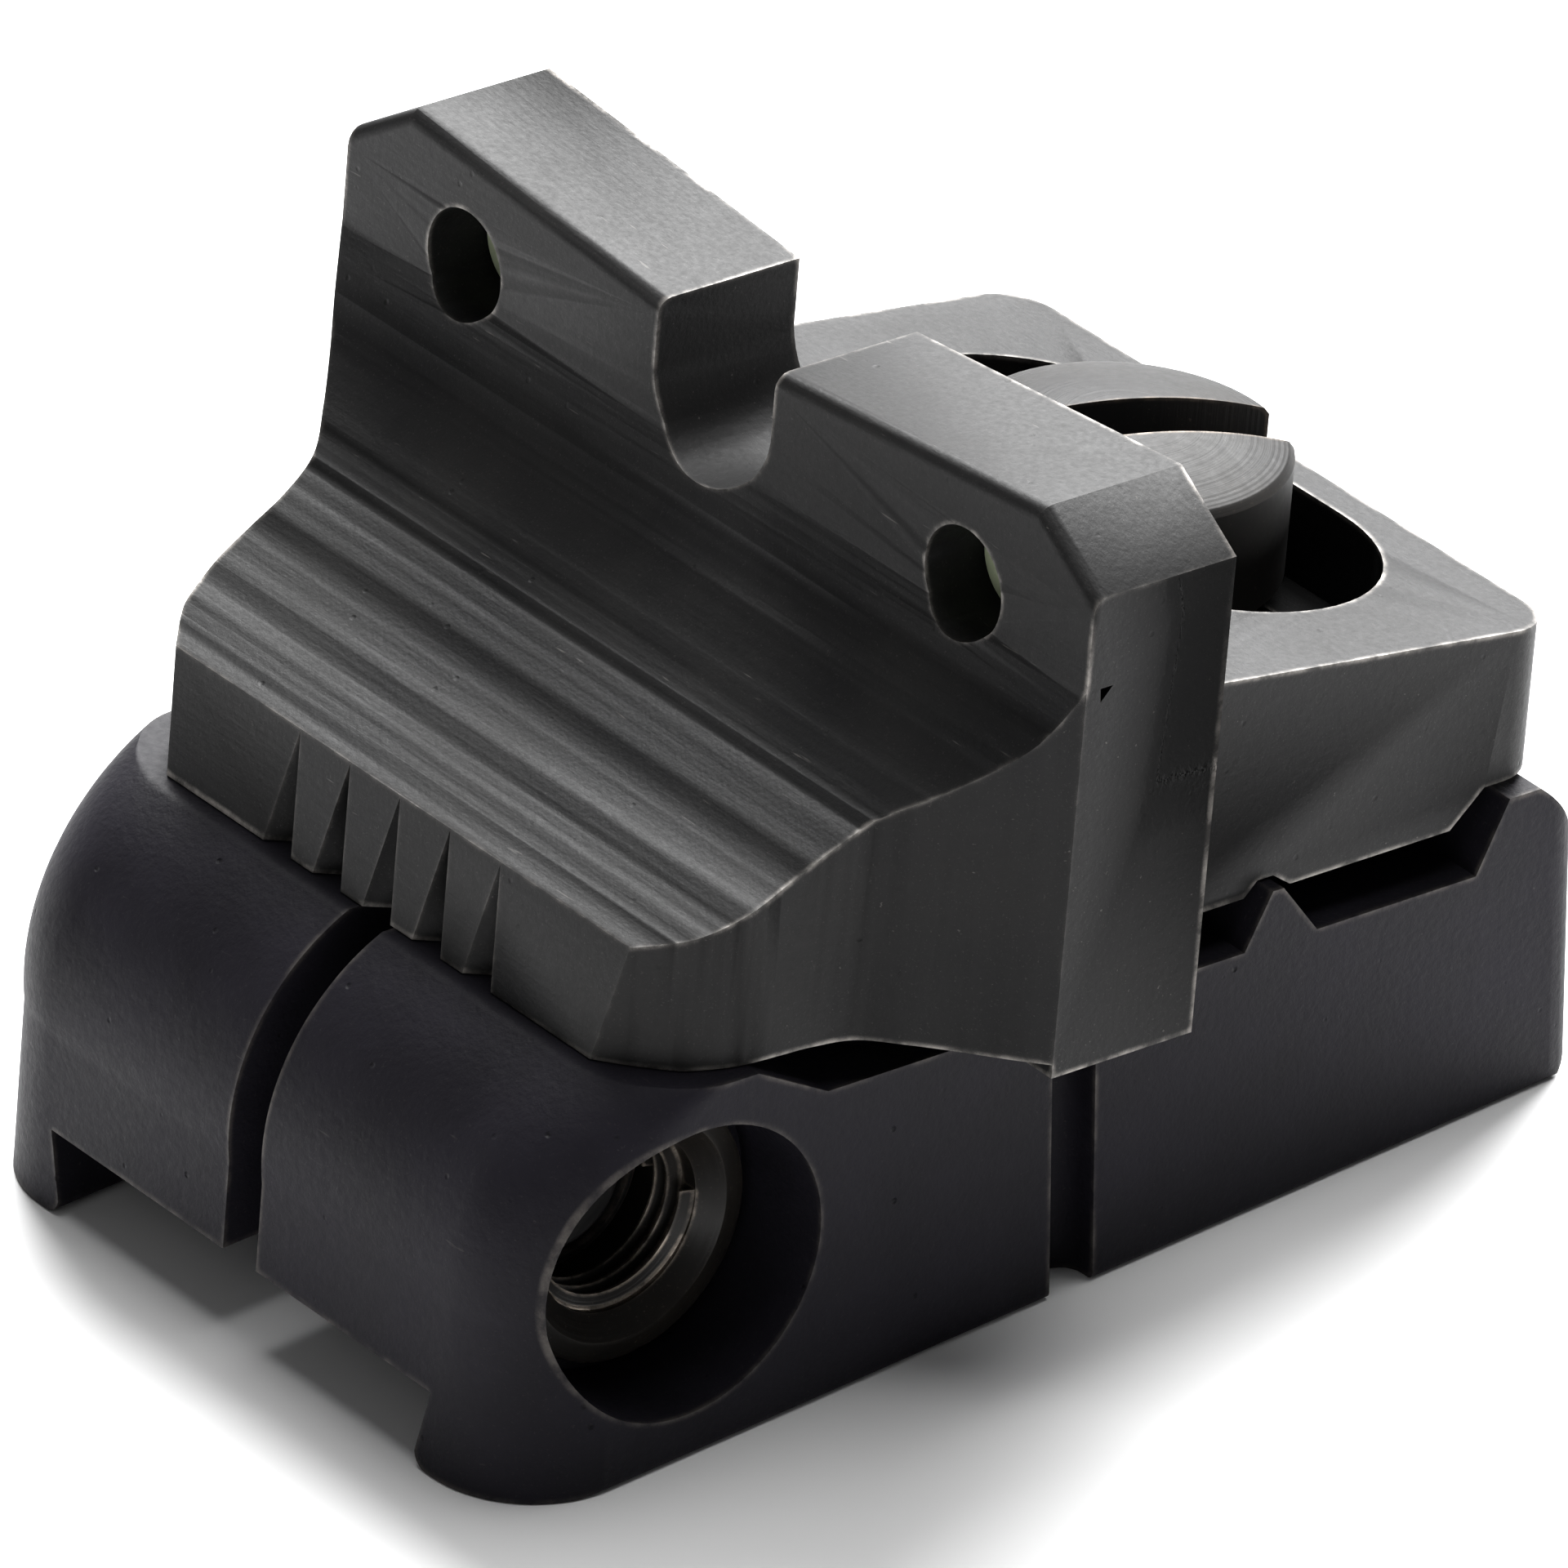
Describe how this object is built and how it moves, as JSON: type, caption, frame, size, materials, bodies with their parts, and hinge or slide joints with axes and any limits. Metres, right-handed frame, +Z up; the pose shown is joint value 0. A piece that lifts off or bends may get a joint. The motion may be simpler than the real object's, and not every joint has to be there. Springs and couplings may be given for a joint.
{
  "type": "adjustable rear sight",
  "caption": "Open notch rear sight: a windage-adjustable leaf with luminous inserts, held by a slotted lock screw on a split dovetail clamp base.",
  "frame": {"origin": "on the centre plane, halfway along the base, on the plane of the two clamp lips' feet", "axes": "+X to the shooter's right, +Y towards the muzzle, +Z up"},
  "size_m": [0.021, 0.0248, 0.0173],
  "materials": {
    "base_steel": "blast-finished and blued",
    "leaf_steel": "blued, fine milling lines, worn edges",
    "screw_steel": "blued, turning marks",
    "washer_steel": "bare steel",
    "nut_steel": "dark oxide, bright rims",
    "luminous": "pale yellow-green"
  },
  "bodies": {
    "base": {"base": "base_steel", "clamp_nut": "nut_steel"},
    "leaf": {"sight_leaf": "leaf_steel", "left_vial": "luminous", "right_vial": "luminous"},
    "lock_screw": {"lock_screw": "screw_steel", "spring_washer": "washer_steel"},
    "clamp_screw": {"clamp_screw": "screw_steel", "clamp_washer": "washer_steel"}
  },
  "joints": [
    {"name": "windage_slide", "type": "slide", "parent": "base", "child": "leaf", "axis": [1, 0, 0], "range_m": [-0.00245, 0.00245]},
    {"name": "lock_screw_turn", "type": "hinge", "parent": "base", "child": "lock_screw", "pos_m": [0, 0.00758, 0.00588], "axis": [0, 0.0884, 0.9961], "range_deg": [0, 360]},
    {"name": "clamp_screw_turn", "type": "hinge", "parent": "base", "child": "clamp_screw", "pos_m": [0, -0.00831, 0.0038], "axis": [-1, 0, 0], "range_deg": [0, 360]}
  ]
}
